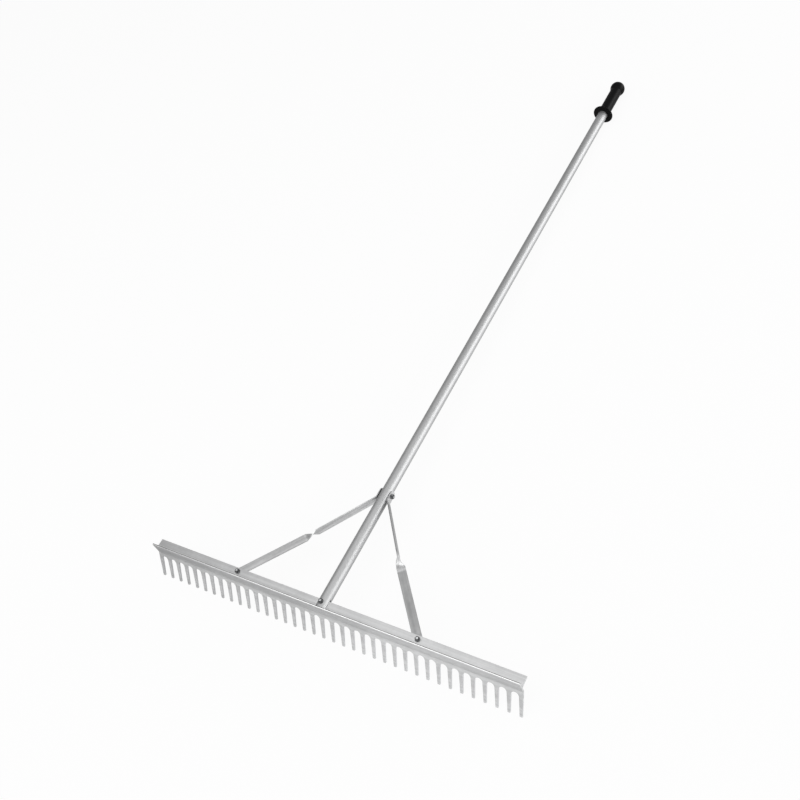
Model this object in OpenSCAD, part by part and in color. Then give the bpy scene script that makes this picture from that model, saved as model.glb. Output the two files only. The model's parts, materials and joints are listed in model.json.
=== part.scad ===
// Landscape rake: a long punched head, a tube handle with a grip, and two twisted braces.
// It lies as it rests on the ground, on its tooth tips and on the collar of its grip.
// Millimetres. The origin is on the ground at the middle of the line of tooth tips.
// +X runs along the head, +Y along the ground towards the grip, and +Z is up.

/* [Head] */
// Length of the head from end to end
head_length = 914.4; // [760:0.1:1070]
// Number of teeth, an odd number so that one stands in the middle
tooth_count = 37; // [31:2:41]
// Length of a tooth from the fold to its tip
tooth_length = 63.5; // [50:0.1:80]
// Width of a tooth where the arches between the teeth begin
tooth_root_width = 8.8; // [7:0.1:10]
// Width of a tooth at its tip
tooth_tip_width = 5.6; // [3.6:0.1:6.4]
// Thickness of the tooth plate
tooth_thickness = 3.6; // [3:0.1:5]
// Corner radius at a tooth's tip
tooth_tip_radius = 0.4; // [0.2:0.1:1.6]
// Distance from the fold down to the crown of each arch
arch_drop = 8.6; // [6:0.1:12]
// Forward lean of the tooth plate from the plane of the upright plate, in degrees
tooth_lean = 27.5; // [20:0.5:35]
// Inside radius of the fold
fold_radius = 8; // [4:0.5:12]
// Height of the upright plate above the fold
plate_height = 31.8; // [28:0.1:40]
// Thickness of the upright plate
plate_thickness = 3.2; // [2.4:0.1:4]
// Radius along the plate's top edge as a share of its thickness
plate_round = 0.45; // [0.1:0.05:0.5]
// Distance from the fold up to the handle's axis
fold_drop = 10.2; // [8:0.1:12]
// Reach of the flange from the plate's front face
flange_reach = 25.4; // [23:0.1:32]
// Thickness of the flange
flange_thickness = 3.2; // [2.4:0.1:4]
// Fillet between the flange and the plate
web_fillet = 1.5; // [0.5:0.1:2]
// Distance from the flange's free edge back to the line of bolts
bolt_setback = 8.4; // [7:0.1:9.5]

/* [Handle] */
// Outside diameter of the tube
tube_diameter = 25.4; // [22:0.1:32]
// Wall of the tube
tube_wall = 1.65; // [1.2:0.05:3]
// Length of the tube
tube_length = 1676.4; // [1200:0.1:1800]
// Gap between the tube's foot and the plate
foot_gap = 0.3; // [0.1:0.1:1]
// Gap on each side of the flange in the tube's slot
slot_clearance = 0.2; // [0.1:0.05:0.5]
// Length of slot left open behind the flange
slot_overrun = 4; // [2:0.5:8]

/* [Grip] */
// Distance from the middle of the collar to the end of the ball
grip_length = 128.5; // [110:0.5:160]
// Gap between the tube and the grip, on the radius
grip_clearance = 0.05; // [0.02:0.01:0.2]
// Wall of the barrel
grip_wall = 2.6; // [1.2:0.05:4]
// Reach of the collar from the barrel
collar_reach = 11.3; // [8:0.1:15]
// Thickness of the collar, which has a round rim
collar_thickness = 5; // [4:0.5:8]
// Swell of the ball end beyond the barrel, on the radius
ball_swell = 4.2; // [3:0.1:8]
// Fillet where the barrel meets the ball
ball_fillet = 2; // [1:0.5:8]
// Fillet where the barrel meets the collar
collar_fillet = 2; // [1:0.5:4]
// Thickness of the grip beyond the tube's end
grip_end = 21.5; // [12:0.5:26]

/* [Braces] */
// Width of the brace bar
brace_width = 19; // [16:0.1:22]
// Thickness of the brace bar
brace_thickness = 2; // [1.6:0.1:3.2]
// Distance from the middle of the head to each brace bolt
brace_spread = 227.5; // [180:0.1:270]
// Distance from the plate's front face to the bolt that crosses the tube
brace_reach = 293; // [240:0.5:360]
// Distance from the lower bolt to the start of the twist
twist_start = 163; // [110:1:165]
// Length of the quarter twist
twist_length = 28; // [24:1:44]
// Change of direction just above the twist, in degrees
brace_kink = 2.6; // [0.5:0.1:4]
// Inside radius of that change of direction
kink_radius = 40; // [20:1:60]
// Inside radius of the bend into the upper tab
tab_bend = 5; // [3:0.5:8]
// Length of tab between its bend and its bolt
tab_lead = 12; // [10:0.5:20]
// Length of tab beyond its bolt
tab_end = 12; // [11:0.5:16]
// Radius of the tab's end as a share of its width
tab_round = 0.52; // [0.51:0.01:0.8]
// Gap between each tab and the side of the tube
tab_clearance = 0.05; // [0.02:0.01:0.3]

/* [Fasteners] */
// Diameter of the bolts
bolt_diameter = 4.8; // [4:0.05:7]
// Gap around a bolt in its hole, on the radius
hole_clearance = 0.2; // [0.1:0.05:0.4]
// Gap between a bolt and its nut or insert, on the radius
thread_clearance = 0.05; // [0.02:0.01:0.1]
// Width across the flats of heads and nuts
hex_width = 9.5; // [9:0.1:12]
// Height of a bolt head
head_height = 3.2; // [2.4:0.1:5]
// Height of a nut's hexagon
nut_height = 4; // [3:0.1:6]
// Step in from a nut's flats to its round crown
crown_step = 0.65; // [0.5:0.05:0.9]
// Height of the crown
crown_height = 2; // [1.6:0.1:3]
// Wall of the crown around its insert
crown_wall = 0.7; // [0.5:0.05:1]
// Height of the insert
insert_height = 1.3; // [0.8:0.1:1.6]
// Length of bolt that stands out of its nut
bolt_stand_out = 1.2; // [0.8:0.1:4]
// Chamfer at a bolt's end
bolt_chamfer = 0.5; // [0.3:0.1:0.8]
// Angle of the chamfer on heads and nuts, in degrees
hex_chamfer = 30; // [15:1:35]

/* [Hidden] */
$fn = 64;
// Overlap that lets a cut run clear of the faces it crosses
past = 1;
// Flats in each round stretch of an outline
arc_steps = 12;
// Turn from one flat to the next at the corners of the tips, in degrees
tip_facet = 30;
// Steps along the quarter twist of a brace, and around the outline of its bar
twist_slices = 18;
twist_segments = 12;

tooth_pitch = (head_length - tooth_root_width) / (tooth_count - 1);
arch_radius = (tooth_pitch - tooth_root_width) / 2;
arch_level = arch_drop + arch_radius;
plate_top = plate_height - fold_drop;
edge_radius = plate_thickness * plate_round;
edge_level = plate_top - edge_radius;
bolt_line = flange_reach - bolt_setback;
fold_tangent = fold_radius * tan(tooth_lean / 2);
gap_mouth = (tooth_pitch - tooth_tip_width) / 2;

tube_radius = tube_diameter / 2;
tube_foot = plate_thickness + foot_gap;
tube_end = tube_foot + tube_length;

grip_bore = tube_radius + grip_clearance;
barrel_radius = grip_bore + grip_wall;
ball_radius = barrel_radius + ball_swell;
ball_centre = tube_end + grip_end - ball_radius;
collar_middle = tube_end + grip_end - grip_length;
rim_radius = collar_thickness / 2;
rim_centre = barrel_radius + collar_reach - rim_radius;

hole_radius = bolt_diameter / 2 + hole_clearance;
thread_bore = bolt_diameter / 2 + thread_clearance;
nut_total = nut_height + crown_height;
crown_radius = hex_width / 2 - crown_step;
insert_radius = crown_radius - crown_wall;

// The braces lie against the underside of the flange, which is level with the handle's axis
brace_level = -brace_thickness / 2;
tab_middle = tube_radius + tab_clearance + brace_thickness / 2;
tab_face = tab_middle + brace_thickness / 2;
bend_line = tab_bend + brace_thickness / 2;
kink_line = kink_radius + brace_thickness / 2;
kink_start = twist_start + twist_length;
// Vector from the lower bolt to the centre of the tab's bend, as a length and an angle
span_x = brace_spread - tab_middle - bend_line;
span_y = brace_reach - tab_lead - bolt_line;
span = norm([span_x, span_y]);
span_angle = atan2(span_x, span_y);
upper_offset = bend_line - kink_start * sin(brace_kink) - kink_line * (1 - cos(brace_kink));
upper_angle = span_angle + asin(upper_offset / span);
lower_angle = upper_angle + brace_kink;
upper_length = span * cos(upper_angle - span_angle) - kink_start * cos(brace_kink)
  - kink_line * sin(brace_kink);

// Rest on the ground: the lowest edge of the tips, and the round that the ground touches first
tip_y = tooth_thickness * cos(tooth_lean) - tooth_length * sin(tooth_lean);
tip_z = -fold_drop - tooth_length * cos(tooth_lean) - tooth_thickness * sin(tooth_lean);
function ground_angle(y, z, r) =
  atan2(z - tip_z, y - tip_y) - asin(r / norm([y - tip_y, z - tip_z]));
rest_angle = min(
  ground_angle(collar_middle, -rim_centre, rim_radius),
  ground_angle(ball_centre, 0, ball_radius)
);

// Lays the rake, drawn along its handle, on the ground
module lay_down() {
  rotate([-rest_angle, 0, 0]) translate([0, -tip_y, -tip_z]) children();
}

// Points along a round stretch of an outline
function arc(centre, radius, from, to) = [
  for (step = [0 : arc_steps])
    let (angle = from + (to - from) * step / arc_steps)
      centre + radius * [cos(angle), sin(angle)]
];

// A place on the tooth plate, from its distance below the fold and its depth from the front face
function on_tooth(below, depth) = [
  depth * cos(tooth_lean) - below * sin(tooth_lean),
  -fold_drop - below * cos(tooth_lean) - depth * sin(tooth_lean)
];

// Cross section of the head, with Y along the handle and Z up
module head_section() {
  polygon(concat(
    arc([edge_radius, edge_level], edge_radius, 90, 180),
    arc([-fold_radius, fold_tangent - fold_drop], fold_radius, 0, -tooth_lean),
    [on_tooth(tooth_length, 0), on_tooth(tooth_length, tooth_thickness), on_tooth(0, tooth_thickness)],
    [[plate_thickness, -fold_drop]],
    arc([plate_thickness + web_fillet, -web_fillet], web_fillet, 180, 90),
    [[flange_reach, 0], [flange_reach, flange_thickness]],
    arc([plate_thickness + web_fillet, flange_thickness + web_fillet], web_fillet, 270, 180),
    arc([plate_thickness - edge_radius, edge_level], edge_radius, 0, 90)
  ));
}

// One side of the opening between two teeth, from the arch to past the tips
function gap_side(side) = let (tip_level = tooth_length - tooth_tip_radius) concat(
  [
    for (turn = [0, tip_facet, 2 * tip_facet])
      [side * (gap_mouth + tooth_tip_radius * (1 - cos(turn))), tip_level + tooth_tip_radius * sin(turn)]
  ],
  [[side * (gap_mouth + 2 * tooth_tip_radius), tooth_length + tooth_tip_radius]]
);

// The opening between two teeth, with its half-round arch at the top
module gap_outline() {
  right = gap_side(1);
  left = gap_side(-1);
  polygon(concat(
    arc([0, arch_level], arch_radius, -180, 0), right,
    [for (point = [len(left) - 1 : -1 : 0]) left[point]]
  ));
}

// The taper on the outer side of an end tooth
module end_taper() {
  slope = (tooth_root_width - tooth_tip_width) / 2 / (tooth_length - arch_level);
  polygon([
    [head_length / 2 + arch_level * slope, 0],
    [head_length / 2 - (tooth_length + past - arch_level) * slope, tooth_length + past],
    [head_length / 2 + tooth_length, tooth_length + past],
    [head_length / 2 + tooth_length, 0]
  ]);
}

module rake_head() {
  color("silver") lay_down() difference() {
    translate([-head_length / 2, 0, 0]) rotate([90, 0, 90])
      linear_extrude(height = head_length) head_section();
    // the openings punched between the teeth, and the outer sides of the two end teeth
    translate([0, 0, -fold_drop]) rotate([-90 - tooth_lean, 0, 0]) translate([0, 0, -past])
      linear_extrude(height = tooth_thickness + 2 * past) {
        for (gap = [1 : tooth_count - 1])
          translate([(gap - tooth_count / 2) * tooth_pitch, 0]) gap_outline();
        end_taper();
        mirror([1, 0]) end_taper();
      }
    // the holes for the foot bolt and the brace bolts
    for (side = [-1, 0, 1])
      translate([side * brace_spread, bolt_line, -past])
        cylinder(h = flange_thickness + 2 * past, r = hole_radius);
  }
}

module handle_tube() {
  slot_height = flange_thickness + 2 * slot_clearance;
  color("gainsboro") lay_down() difference() {
    translate([0, tube_foot, 0]) rotate([-90, 0, 0]) cylinder(h = tube_length, r = tube_radius);
    translate([0, tube_foot - past, 0]) rotate([-90, 0, 0])
      cylinder(h = tube_length + 2 * past, r = tube_radius - tube_wall);
    translate([-tube_diameter, tube_foot - past, -slot_clearance])
      cube([2 * tube_diameter, flange_reach + slot_overrun - tube_foot + past, slot_height]);
    translate([0, bolt_line, -tube_diameter]) cylinder(h = 2 * tube_diameter, r = hole_radius);
    translate([-tube_diameter, brace_reach, brace_level]) rotate([0, 90, 0])
      cylinder(h = 2 * tube_diameter, r = hole_radius);
  }
}

// Half section of the grip, with Y along its axis
module grip_section() {
  fillet_x = barrel_radius + ball_fillet;
  fillet_y = ball_centre - sqrt(pow(ball_radius + ball_fillet, 2) - pow(fillet_x, 2));
  share = ball_radius / (ball_radius + ball_fillet);
  collar_back = collar_middle + rim_radius;
  // the collar and its round rim
  translate([0, collar_middle - rim_radius]) square([rim_centre, collar_thickness]);
  translate([rim_centre, collar_middle]) circle(r = rim_radius);
  difference() {
    translate([barrel_radius, collar_back]) square(collar_fillet);
    translate([barrel_radius + collar_fillet, collar_back + collar_fillet]) circle(r = collar_fillet);
  }
  // the barrel, then the fillet that carries it into the ball
  translate([0, collar_middle]) square([barrel_radius, fillet_y - collar_middle]);
  difference() {
    polygon([
      [0, fillet_y], [fillet_x, fillet_y],
      [fillet_x * share, ball_centre - (ball_centre - fillet_y) * share], [0, ball_centre]
    ]);
    translate([fillet_x, fillet_y]) circle(r = ball_fillet);
  }
  // the ball
  intersection() {
    translate([0, ball_centre]) circle(r = ball_radius);
    translate([0, ball_centre - ball_radius]) square(2 * ball_radius);
  }
}

module grip() {
  color("dimgray") lay_down() difference() {
    rotate([-90, 0, 0]) rotate_extrude() grip_section();
    translate([0, collar_middle - collar_thickness, 0]) rotate([-90, 0, 0])
      cylinder(h = tube_end - collar_middle + collar_thickness, r = grip_bore);
  }
}

// A vector turned clockwise
function turned(v, angle) = [v[0] * cos(angle) + v[1] * sin(angle), v[1] * cos(angle) - v[0] * sin(angle)];

// The place reached along a clockwise bend that starts straight on
function along_bend(radius, angle) = radius * [1 - cos(angle), sin(angle)];

// The middle of the brace above its twist, as places with their headings, clockwise from straight on
function upper_path() = let (
  bend_at = along_bend(kink_line, brace_kink) + turned([0, upper_length], brace_kink),
  tab_at = bend_at + turned(along_bend(bend_line, upper_angle), brace_kink)
) concat(
  [for (angle = [0, brace_kink / 2, brace_kink]) [along_bend(kink_line, angle), angle]],
  [
    for (step = [0 : arc_steps])
      let (angle = upper_angle * step / arc_steps)
        [bend_at + turned(along_bend(bend_line, angle), brace_kink), brace_kink + angle]
  ],
  [[tab_at + turned([0, tab_lead + tab_end], lower_angle), lower_angle]]
);

// The upper half of the brace seen from above, where it stands on edge
module upper_outline() {
  path = upper_path();
  half = brace_thickness / 2;
  polygon(concat(
    [for (place = path) place[0] + turned([-half, 0], place[1])],
    [for (last = [len(path) - 1 : -1 : 0]) path[last][0] + turned([half, 0], path[last][1])]
  ));
}

// The right-hand brace, drawn along the handle
module brace_bar() {
  end_radius = brace_width * tab_round;
  difference() {
    translate([brace_spread, bolt_line, brace_level]) rotate([0, 0, lower_angle]) {
      // lower half, flat under the flange
      translate([0, 0, -brace_thickness / 2]) linear_extrude(height = brace_thickness) {
        translate([-brace_width / 2, 0]) square([brace_width, twist_start]);
        circle(d = brace_width);
      }
      // quarter twist
      translate([0, twist_start, 0]) rotate([-90, 0, 0])
        linear_extrude(height = twist_length, twist = -90, slices = twist_slices, segments = twist_segments)
          square([brace_width, brace_thickness], center = true);
      // upper half on edge, bent to a tab beside the tube
      translate([0, kink_start, -brace_width / 2]) linear_extrude(height = brace_width) upper_outline();
    }
    // hole for the bolt in the flange
    translate([brace_spread, bolt_line, -brace_width]) cylinder(h = 2 * brace_width, r = hole_radius);
    // hole for the bolt that crosses the tube, and the round end of the tab
    translate([tab_middle - brace_width, brace_reach, brace_level]) rotate([0, 90, 0])
      cylinder(h = 2 * brace_width, r = hole_radius);
    translate([tab_middle, brace_reach + tab_end - end_radius, brace_level]) rotate([0, 90, 0]) difference() {
      translate([-brace_width, 0, -brace_width]) cube(2 * brace_width);
      translate([0, 0, -brace_width - past]) cylinder(h = 2 * (brace_width + past), r = end_radius);
    }
  }
}

module right_brace() {
  color("darkgray") lay_down() brace_bar();
}

module left_brace() {
  color("darkgray") lay_down() mirror([1, 0, 0]) brace_bar();
}

// A hexagon with its outer corners chamfered at the top
module hexagon(height) {
  corner = hex_width / (2 * cos(30));
  drop = (corner - hex_width / 2) * tan(hex_chamfer);
  intersection() {
    cylinder(h = height, r = corner, $fn = 6);
    union() {
      cylinder(h = height - drop, r = corner + past);
      translate([0, 0, height - drop]) cylinder(h = drop, r1 = corner, r2 = hex_width / 2);
    }
  }
}

// A bolt with its head below zero, its shank up through what it clamps, and its end past the nut
module hex_bolt(clamped) {
  radius = bolt_diameter / 2;
  shank = clamped + nut_total + bolt_stand_out - bolt_chamfer;
  mirror([0, 0, 1]) hexagon(head_height);
  cylinder(h = shank, r = radius);
  translate([0, 0, shank]) cylinder(h = bolt_chamfer, r1 = radius, r2 = radius - bolt_chamfer);
}

// A lock nut, with a round crown that is hollowed for its insert
module lock_nut() {
  difference() {
    union() {
      hexagon(nut_height);
      cylinder(h = nut_total, r = crown_radius);
    }
    translate([0, 0, -past]) cylinder(h = nut_total + 2 * past, r = thread_bore);
    translate([0, 0, nut_total - insert_height]) cylinder(h = insert_height + past, r = insert_radius);
  }
}

// The ring that grips the bolt in a lock nut's crown
module lock_insert() {
  translate([0, 0, nut_total - insert_height]) difference() {
    cylinder(h = insert_height, r = insert_radius - thread_clearance);
    translate([0, 0, -past]) cylinder(h = insert_height + 2 * past, r = thread_bore);
  }
}

// Places for the four bolted joints, each with zero at the face that the head or the nut bears on
module at_foot(level) {
  translate([0, bolt_line, level]) children();
}

module at_brace(side, level) {
  translate([side * brace_spread, bolt_line, level]) children();
}

module at_cross(face) {
  translate([face, brace_reach, brace_level]) rotate([0, 90, 0]) children();
}

module foot_bolt() {
  color("slategray") lay_down() at_foot(-tube_radius) hex_bolt(tube_diameter);
}

module foot_nut() {
  color("slategray") lay_down() at_foot(tube_radius) lock_nut();
}

module foot_insert() {
  color("white") lay_down() at_foot(tube_radius) lock_insert();
}

module left_bolt() {
  color("slategray") lay_down() at_brace(-1, -brace_thickness)
    hex_bolt(brace_thickness + flange_thickness);
}

module left_nut() {
  color("slategray") lay_down() at_brace(-1, flange_thickness) lock_nut();
}

module left_insert() {
  color("white") lay_down() at_brace(-1, flange_thickness) lock_insert();
}

module right_bolt() {
  color("slategray") lay_down() at_brace(1, -brace_thickness)
    hex_bolt(brace_thickness + flange_thickness);
}

module right_nut() {
  color("slategray") lay_down() at_brace(1, flange_thickness) lock_nut();
}

module right_insert() {
  color("white") lay_down() at_brace(1, flange_thickness) lock_insert();
}

module cross_bolt() {
  color("slategray") lay_down() at_cross(-tab_face) hex_bolt(2 * tab_face);
}

module cross_nut() {
  color("slategray") lay_down() at_cross(tab_face) lock_nut();
}

module cross_insert() {
  color("white") lay_down() at_cross(tab_face) lock_insert();
}

rake_head();
handle_tube();
grip();
left_brace();
right_brace();
foot_bolt();
foot_nut();
foot_insert();
left_bolt();
left_nut();
left_insert();
right_bolt();
right_nut();
right_insert();
cross_bolt();
cross_nut();
cross_insert();
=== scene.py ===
# %% [markdown]
# # A wide landscape rake
# The rake lies on a pale studio floor, where it rests on its tooth tips and on the collar of its grip.
# The CAD model comes in first and stays as it is. Every piece is then modelled again by hand, with the
# softened edges, cut threads and metal finishes that a plain solid leaves out, in the place of its solid.

# %% Load the CAD frame
import json
import math

import bmesh
import bpy
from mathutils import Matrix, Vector


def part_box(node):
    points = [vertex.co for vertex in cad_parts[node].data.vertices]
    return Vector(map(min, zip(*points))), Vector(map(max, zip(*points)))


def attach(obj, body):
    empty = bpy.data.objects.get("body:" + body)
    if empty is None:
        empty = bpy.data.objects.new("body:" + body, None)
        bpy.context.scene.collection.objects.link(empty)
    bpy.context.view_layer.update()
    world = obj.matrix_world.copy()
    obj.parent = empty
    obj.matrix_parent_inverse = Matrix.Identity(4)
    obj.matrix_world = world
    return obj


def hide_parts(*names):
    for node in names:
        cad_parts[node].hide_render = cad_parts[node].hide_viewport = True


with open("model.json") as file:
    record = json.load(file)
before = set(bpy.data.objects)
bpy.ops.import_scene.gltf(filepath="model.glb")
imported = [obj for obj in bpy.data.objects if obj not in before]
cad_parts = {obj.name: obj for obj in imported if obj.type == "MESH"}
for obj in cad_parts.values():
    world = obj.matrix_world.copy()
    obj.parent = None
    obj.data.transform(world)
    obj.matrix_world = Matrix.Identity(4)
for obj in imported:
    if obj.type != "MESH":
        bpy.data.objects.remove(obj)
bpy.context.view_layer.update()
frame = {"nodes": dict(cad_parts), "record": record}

print("CAD nodes loaded:", len(frame["nodes"]))

# %% [markdown]
# ## The handle's own axes
# The handle slopes down a little towards its grip, so the pieces are easier to draw in the handle's own axes:
# X along the head, Y up the handle and Z square to both. Two mounts in the record give these axes. The clip
# on the tube gives the handle's direction, and the face of the head's plate gives the zero of Y.

# %% Find the handle's axes
mm = 0.001
mounts = {mount["name"]: mount for mount in frame["record"]["mounts"]}
handle_way = Vector(mounts["tool_clip"]["axis"])
clip_place = Vector(mounts["tool_clip"]["pos_m"])
face_place = Vector(mounts["head_face"]["pos_m"])
handle_zero = clip_place + handle_way * handle_way.dot(face_place - clip_place)
handle_slope = math.atan2(handle_way.z, handle_way.y)
print("handle slopes", round(math.degrees(handle_slope), 3), "degrees, from", handle_zero[:])

# %% [markdown]
# ## The camera
# The picture looks down on the rake from its right, from about 1.8 m up. The camera is rolled so that the
# handle climbs to the right, and the lens is a little longer than normal.

# %% Set the camera
camera_place = (1.0926, -0.4559, 1.8169)
camera_turn = [math.radians(angle) for angle in (38.174, 17.864, 28.085)]
bpy.ops.object.camera_add(location=camera_place, rotation=camera_turn)
camera = bpy.context.object
camera.name = "camera"
camera.data.sensor_width = 36
camera.data.lens = 45.9
bpy.context.scene.camera = camera
print("camera lens", round(camera.data.lens, 1), "mm")

# %% [markdown]
# ## The floor
# The floor is white to the eye but still takes a soft shadow: a share of what the eye sees is its own glow,
# and the rest is lit paint. Bare metal shows what lies around it more than its own colour, and on a plain
# white floor all the flat faces would look alike. So the metal mirrors a painted reflection: a glow on the
# floor that only mirrored rays see, with painted shade and light. It is dark on the left, paler to the
# right, and brightest behind the head on the right of the tube.


# %% Lay the floor
def spread(tree, value, low, high, to_low=0.0, to_high=1.0):
    """A value's range moved to another range, and kept inside it."""
    ranger = tree.nodes.new("ShaderNodeMapRange")
    limits = {"From Min": low, "From Max": high, "To Min": to_low, "To Max": to_high}
    for socket_name, limit in limits.items():
        ranger.inputs[socket_name].default_value = limit
    tree.links.new(value, ranger.inputs["Value"])
    return ranger.outputs["Result"]


def calculate(tree, operation, *values):
    """The result of one Math node. Each value is a number or a socket."""
    step = tree.nodes.new("ShaderNodeMath")
    step.operation = operation
    for socket, value in zip(step.inputs, values):
        if isinstance(value, bpy.types.NodeSocket):
            tree.links.new(value, socket)
        else:
            socket.default_value = value
    return step.outputs[0]


def object_place(tree):
    """The place on a piece, in the piece's own axes."""
    return tree.nodes.new("ShaderNodeTexCoord").outputs["Object"]


def split(tree, place):
    """The X, Y and Z of a place."""
    parts = tree.nodes.new("ShaderNodeSeparateXYZ")
    tree.links.new(place, parts.inputs[0])
    return parts.outputs


def mix_shaders(tree, share_of_second, first, second):
    """A mix of two shaders."""
    mix = tree.nodes.new("ShaderNodeMixShader")
    for socket, source in zip(mix.inputs, (share_of_second, first, second)):
        tree.links.new(source, socket)
    return mix.outputs[0]


floor_size = 60
floor_drop = 0.3 * mm
floor_glow = 0.92
floor_paint = (0.80, 0.80, 0.80, 1)
mirror_share = 0.6
mirror_dark, mirror_light = 0.14, 0.84
mirror_left, mirror_right = -0.64, 0.2
bright_left, bright_right = 0.08, 0.3
bright_front, bright_back = 0.0, 0.2
bright_gain = 1.5
bpy.ops.mesh.primitive_plane_add(size=floor_size, location=(0, 0, -floor_drop))
floor = bpy.context.object
floor.name = "floor"
floor_material = bpy.data.materials.new("studio_floor")
floor_material.use_nodes = True
tree = floor_material.node_tree
tree.nodes.clear()
paint = tree.nodes.new("ShaderNodeBsdfDiffuse")
paint.inputs["Color"].default_value = floor_paint
white_glow = tree.nodes.new("ShaderNodeEmission")
rays = tree.nodes.new("ShaderNodeLightPath").outputs
to_the_eye = calculate(tree, "MAXIMUM", rays["Is Camera Ray"], rays["Is Transmission Ray"])
glow_share = calculate(tree, "MULTIPLY", to_the_eye, floor_glow)
seen_floor = mix_shaders(tree, glow_share, paint.outputs[0], white_glow.outputs[0])
# Painted reflection: a glow seen only by mirrored rays, darker on the left and brightest behind the head on
# the right of the tube.
floor_place = split(tree, object_place(tree))
side_fade = spread(tree, floor_place["X"], mirror_left, mirror_right, mirror_dark, mirror_light)
right_of_tube = spread(tree, floor_place["X"], bright_left, bright_right, 0.0, bright_gain)
behind_head = spread(tree, floor_place["Y"], bright_front, bright_back)
painted_reflection_level = calculate(tree, "MULTIPLY_ADD", right_of_tube, behind_head, side_fade)
painted_reflection_glow = tree.nodes.new("ShaderNodeEmission")
tree.links.new(painted_reflection_level, painted_reflection_glow.inputs["Strength"])
to_the_metal = calculate(tree, "MULTIPLY", rays["Is Glossy Ray"], mirror_share)
whole_floor = mix_shaders(tree, to_the_metal, seen_floor, painted_reflection_glow.outputs[0])
tree.links.new(whole_floor, tree.nodes.new("ShaderNodeOutputMaterial").inputs["Surface"])
floor.data.materials.append(floor_material)
print("floor laid, glow share", floor_glow)

# %% [markdown]
# ## The light
# The room itself gives an even light that is a little paler on the right and at the front. Three soft boxes
# add to it. A wide one hangs overhead, a long one on the right draws the bright line along the tube, and one
# at the front left lights the teeth. Small lamps would give the metal hard white spots instead.

# %% Light the room
room_level = 0.58
room_side = 0.22
room_back = -0.10
world = bpy.data.worlds.new("studio_room")
bpy.context.scene.world = world
world.use_nodes = True
tree = world.node_tree
way = split(tree, tree.nodes.new("ShaderNodeTexCoord").outputs["Generated"])
side_level = calculate(tree, "MULTIPLY_ADD", way["X"], room_side, room_level)
whole_level = calculate(tree, "MULTIPLY_ADD", way["Y"], room_back, side_level)
background = tree.nodes["Background"]
background.inputs["Color"].default_value = (1, 1, 1, 1)
tree.links.new(whole_level, background.inputs["Strength"])
bpy.context.scene.view_settings.view_transform = "Standard"
print("room level", room_level)


# %% Hang the soft boxes
def soft_box(name, place, target, width, height, brightness):
    """A rectangular lamp that faces its target. A brightness of 1 is white."""
    bpy.ops.object.light_add(type="AREA", location=place)
    lamp = bpy.context.object
    lamp.name = name
    lamp.data.shape = "RECTANGLE"
    lamp.data.size = width
    lamp.data.size_y = height
    lamp.data.energy = math.pi * width * height * brightness
    lamp.rotation_euler = (Vector(target) - Vector(place)).to_track_quat("-Z", "Y").to_euler()
    print(name, "watts", round(lamp.data.energy, 1))


soft_box("top_box", (-0.45, -0.4, 3.0), (-0.45, -0.4, 0), width=4.1, height=3.0, brightness=1.10)
soft_box("right_box", (2.8, 2.6, 0.85), (0, 1.7, 0.2), width=5.0, height=1.7, brightness=2.9)
soft_box("front_box", (-1.2, -3.2, 1.0), (0, 0, 0), width=3.8, height=1.8, brightness=1.4)

# %% [markdown]
# ## Metal finishes
# Aluminium comes out of its die, or off its draw bench, with fine lines along its length and faint cloudy
# patches where it was handled. Both are shared effects, so each is a node group that any material can use.
# A picture of such marks could be wrapped round the pieces, but stretched noise has no seams.


# %% Make the shared effects
def new_group(name, place_name, value_names):
    """An empty node group that takes a place and gives values."""
    group = bpy.data.node_groups.new(name, "ShaderNodeTree")
    group.interface.new_socket(place_name, in_out="INPUT", socket_type="NodeSocketVector")
    for value_name in value_names:
        group.interface.new_socket(value_name, in_out="OUTPUT", socket_type="NodeSocketFloat")
    place = group.nodes.new("NodeGroupInput").outputs[place_name]
    values = group.nodes.new("NodeGroupOutput").inputs
    return group, place, values


def noise(tree, place, scale, detail, roughness=0.5):
    """A noise texture at a place, with its value from 0 to 1."""
    texture = tree.nodes.new("ShaderNodeTexNoise")
    texture.inputs["Scale"].default_value = scale
    texture.inputs["Detail"].default_value = detail
    texture.inputs["Roughness"].default_value = roughness
    tree.links.new(place, texture.inputs["Vector"])
    return texture.outputs["Fac"]


def blend_values(tree, first, second, share_of_second):
    """A mix of two values."""
    mix = tree.nodes.new("ShaderNodeMix")
    mix.inputs["Factor"].default_value = share_of_second
    tree.links.new(first, mix.inputs["A"])
    tree.links.new(second, mix.inputs["B"])
    return mix.outputs["Result"]


drawn_lines, place, values = new_group("drawn_lines", "Along", ["Tone", "Height"])
fine_lines = noise(drawn_lines, place, scale=1600, detail=2.0)
wide_bands = noise(drawn_lines, place, scale=170, detail=3.0)
line_tone = blend_values(drawn_lines, fine_lines, wide_bands, share_of_second=0.75)
drawn_lines.links.new(line_tone, values["Tone"])
drawn_lines.links.new(fine_lines, values["Height"])

handling, place, values = new_group("handling", "Place", ["Cloud", "Speck"])
large_cloud = noise(handling, place, scale=14, detail=4.0, roughness=0.6)
small_cloud = noise(handling, place, scale=90, detail=3.0, roughness=0.6)
cloud = blend_values(handling, large_cloud, small_cloud, share_of_second=0.4)
grit = noise(handling, place, scale=900, detail=2.0)
handling.links.new(cloud, values["Cloud"])
handling.links.new(spread(handling, grit, 0.62, 0.72), values["Speck"])
print("shared effects:", drawn_lines.name, handling.name)

# %% [markdown]
# ## The metals
# Each metal lies between two tones and between two roughnesses, and the shared effects choose the place
# between them. The head and the tube have satin faces. The plate's top edge has a painted highlight at the
# front, painted darker towards the left, and painted shade at the back. Punched and drilled edges are pale
# and coarse. The bolts are zinc plated, and the nuts are a darker zinc.


# %% Make the metals
def new_material(name):
    """A material with its node tree and the sockets of its main shader."""
    material = bpy.data.materials.new(name)
    material.use_nodes = True
    tree = material.node_tree
    return material, tree, tree.nodes["Principled BSDF"].inputs


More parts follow.
